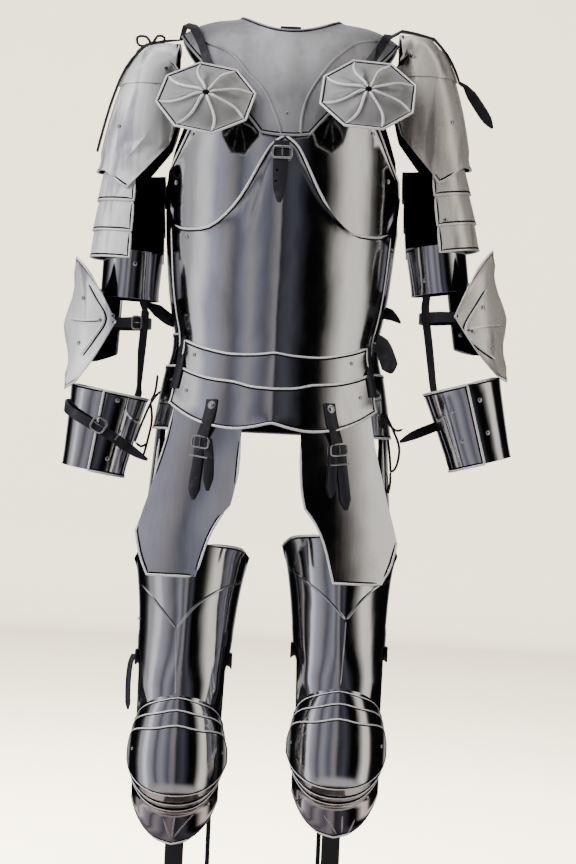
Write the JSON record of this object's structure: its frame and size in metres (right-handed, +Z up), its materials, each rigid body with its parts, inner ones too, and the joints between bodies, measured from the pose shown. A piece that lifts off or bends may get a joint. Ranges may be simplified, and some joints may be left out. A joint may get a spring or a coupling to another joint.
{
  "type": "suit of plate armour on a stand",
  "caption": "Polished plate armour for trunk, arms and thighs with bending knee plates, gorget, besagews and tassets, hung empty on a plain black floor stand.",
  "frame": {"origin": "on the floor, under the middle of the stand's base plate", "axes": "+Z up, -Y the way the suit faces, +X the wearer's left"},
  "size_m": [0.6177, 0.4, 1.5125],
  "materials": {
    "steel": "polished, mirror-like",
    "dull_steel": "satin grey",
    "leather": "black, smooth",
    "stand": "matt black"
  },
  "bodies": {
    "armour_on_stand": {"arm_lame_a_left": "steel", "arm_lame_a_right": "steel", "arm_lame_b_left": "steel", "arm_lame_b_right": "steel", "arm_lame_c_left": "steel", "arm_lame_c_right": "steel", "backplate": "steel", "besagew_left": "steel", "besagew_right": "steel", "breastplate": "steel", "chest_strap": "leather", "couter_left": "steel", "couter_right": "steel", "cuisse_left": "steel", "cuisse_right": "steel", "cuisse_strap_left": "leather", "cuisse_strap_right": "leather", "culet_lame_lower": "steel", "culet_lame_upper": "steel", "elbow_strap_left": "leather", "elbow_strap_right": "leather", "fauld_lame_lower": "steel", "fauld_lame_upper": "steel", "gorget_back": "dull_steel", "gorget_front": "dull_steel", "pauldron_main_left": "steel", "pauldron_main_right": "steel", "pauldron_strap_left": "leather", "pauldron_strap_right": "leather", "pauldron_top_left": "steel", "pauldron_top_right": "steel", "plackart": "steel", "stand_frame": "stand", "stand_legs": "stand", "tasset_front_left": "steel", "tasset_front_right": "steel", "tasset_side_left": "steel", "tasset_side_right": "steel", "tasset_strap_left": "leather", "tasset_strap_right": "leather", "upper_cannon_left": "steel", "upper_cannon_right": "steel", "vambrace_inner_left": "steel", "vambrace_inner_right": "steel", "vambrace_outer_left": "steel", "vambrace_outer_right": "steel", "vambrace_strap_left": "leather", "vambrace_strap_right": "leather"},
    "knee_lame_1_right": {"knee_lame_1_right": "steel"},
    "knee_lame_2_right": {"knee_lame_2_right": "steel"},
    "poleyn_right": {"poleyn_right": "steel"},
    "knee_lame_3_right": {"knee_lame_3_right": "steel"},
    "knee_lame_4_right": {"knee_lame_4_right": "steel"},
    "demi_greave_right": {"demi_greave_right": "steel"},
    "knee_lame_1_left": {"knee_lame_1_left": "steel"},
    "knee_lame_2_left": {"knee_lame_2_left": "steel"},
    "poleyn_left": {"poleyn_left": "steel"},
    "knee_lame_3_left": {"knee_lame_3_left": "steel"},
    "knee_lame_4_left": {"knee_lame_4_left": "steel"},
    "demi_greave_left": {"demi_greave_left": "steel"}
  },
  "joints": [
    {"name": "knee_lame_1_right_turn", "type": "hinge", "parent": "armour_on_stand", "child": "knee_lame_1_right", "pos_m": [-0.108, 0.016, 0.5025], "axis": [1, 0, 0], "range_deg": [0, 7]},
    {"name": "knee_lame_2_right_turn", "type": "hinge", "parent": "armour_on_stand", "child": "knee_lame_2_right", "pos_m": [-0.108, 0.016, 0.5025], "axis": [1, 0, 0], "range_deg": [0, 14]},
    {"name": "poleyn_right_turn", "type": "hinge", "parent": "armour_on_stand", "child": "poleyn_right", "pos_m": [-0.108, 0.016, 0.5025], "axis": [1, 0, 0], "range_deg": [0, 21]},
    {"name": "knee_lame_3_right_turn", "type": "hinge", "parent": "armour_on_stand", "child": "knee_lame_3_right", "pos_m": [-0.108, 0.016, 0.5025], "axis": [1, 0, 0], "range_deg": [0, 28]},
    {"name": "knee_lame_4_right_turn", "type": "hinge", "parent": "armour_on_stand", "child": "knee_lame_4_right", "pos_m": [-0.108, 0.016, 0.5025], "axis": [1, 0, 0], "range_deg": [0, 35]},
    {"name": "knee_bend_right", "type": "hinge", "parent": "armour_on_stand", "child": "demi_greave_right", "pos_m": [-0.108, 0.016, 0.5025], "axis": [1, 0, 0], "range_deg": [0, 42]},
    {"name": "knee_lame_1_left_turn", "type": "hinge", "parent": "armour_on_stand", "child": "knee_lame_1_left", "pos_m": [0.108, 0.016, 0.5215], "axis": [1, 0, 0], "range_deg": [0, 7]},
    {"name": "knee_lame_2_left_turn", "type": "hinge", "parent": "armour_on_stand", "child": "knee_lame_2_left", "pos_m": [0.108, 0.016, 0.5215], "axis": [1, 0, 0], "range_deg": [0, 14]},
    {"name": "poleyn_left_turn", "type": "hinge", "parent": "armour_on_stand", "child": "poleyn_left", "pos_m": [0.108, 0.016, 0.5215], "axis": [1, 0, 0], "range_deg": [0, 21]},
    {"name": "knee_lame_3_left_turn", "type": "hinge", "parent": "armour_on_stand", "child": "knee_lame_3_left", "pos_m": [0.108, 0.016, 0.5215], "axis": [1, 0, 0], "range_deg": [0, 28]},
    {"name": "knee_lame_4_left_turn", "type": "hinge", "parent": "armour_on_stand", "child": "knee_lame_4_left", "pos_m": [0.108, 0.016, 0.5215], "axis": [1, 0, 0], "range_deg": [0, 35]},
    {"name": "knee_bend_left", "type": "hinge", "parent": "armour_on_stand", "child": "demi_greave_left", "pos_m": [0.108, 0.016, 0.5215], "axis": [1, 0, 0], "range_deg": [0, 42]}
  ],
  "couplings": [
    {"joint": "knee_lame_1_right_turn", "follows": "knee_bend_right", "ratio": 0.16667},
    {"joint": "knee_lame_2_right_turn", "follows": "knee_bend_right", "ratio": 0.33333},
    {"joint": "poleyn_right_turn", "follows": "knee_bend_right", "ratio": 0.5},
    {"joint": "knee_lame_3_right_turn", "follows": "knee_bend_right", "ratio": 0.66667},
    {"joint": "knee_lame_4_right_turn", "follows": "knee_bend_right", "ratio": 0.83333},
    {"joint": "knee_lame_1_left_turn", "follows": "knee_bend_left", "ratio": 0.16667},
    {"joint": "knee_lame_2_left_turn", "follows": "knee_bend_left", "ratio": 0.33333},
    {"joint": "poleyn_left_turn", "follows": "knee_bend_left", "ratio": 0.5},
    {"joint": "knee_lame_3_left_turn", "follows": "knee_bend_left", "ratio": 0.66667},
    {"joint": "knee_lame_4_left_turn", "follows": "knee_bend_left", "ratio": 0.83333}
  ]
}
